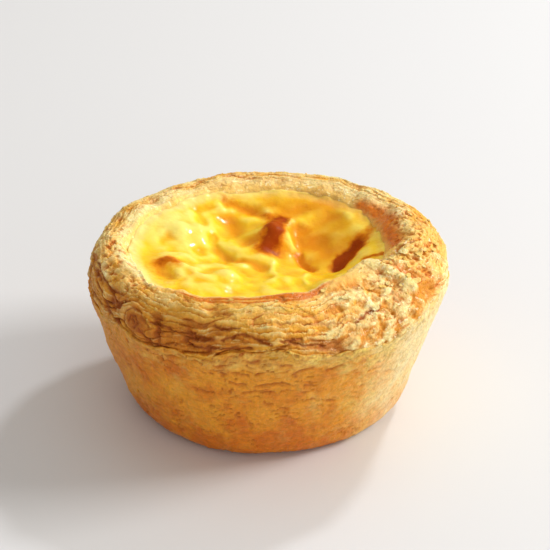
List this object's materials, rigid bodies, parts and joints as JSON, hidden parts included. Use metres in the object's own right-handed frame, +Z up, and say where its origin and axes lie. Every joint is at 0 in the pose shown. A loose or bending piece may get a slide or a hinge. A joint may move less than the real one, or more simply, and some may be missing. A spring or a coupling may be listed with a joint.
{
  "type": "egg tart",
  "caption": "Small round egg tart: a deep cup of layered flaky pastry, its rim opened into thin leaves, filled with sunken, blistered yellow custard.",
  "frame": {"origin": "middle of the flat underside, on the axis of the tin that shaped the wall", "axes": "+Z up, -Y to the front, +X to the tart's right as seen from the front"},
  "size_m": [0.0748, 0.0751, 0.0386],
  "materials": {
    "pastry": "matte",
    "custard": "gloss"
  },
  "bodies": {
    "root": {"crust": "pastry", "custard": "custard"}
  },
  "joints": []
}
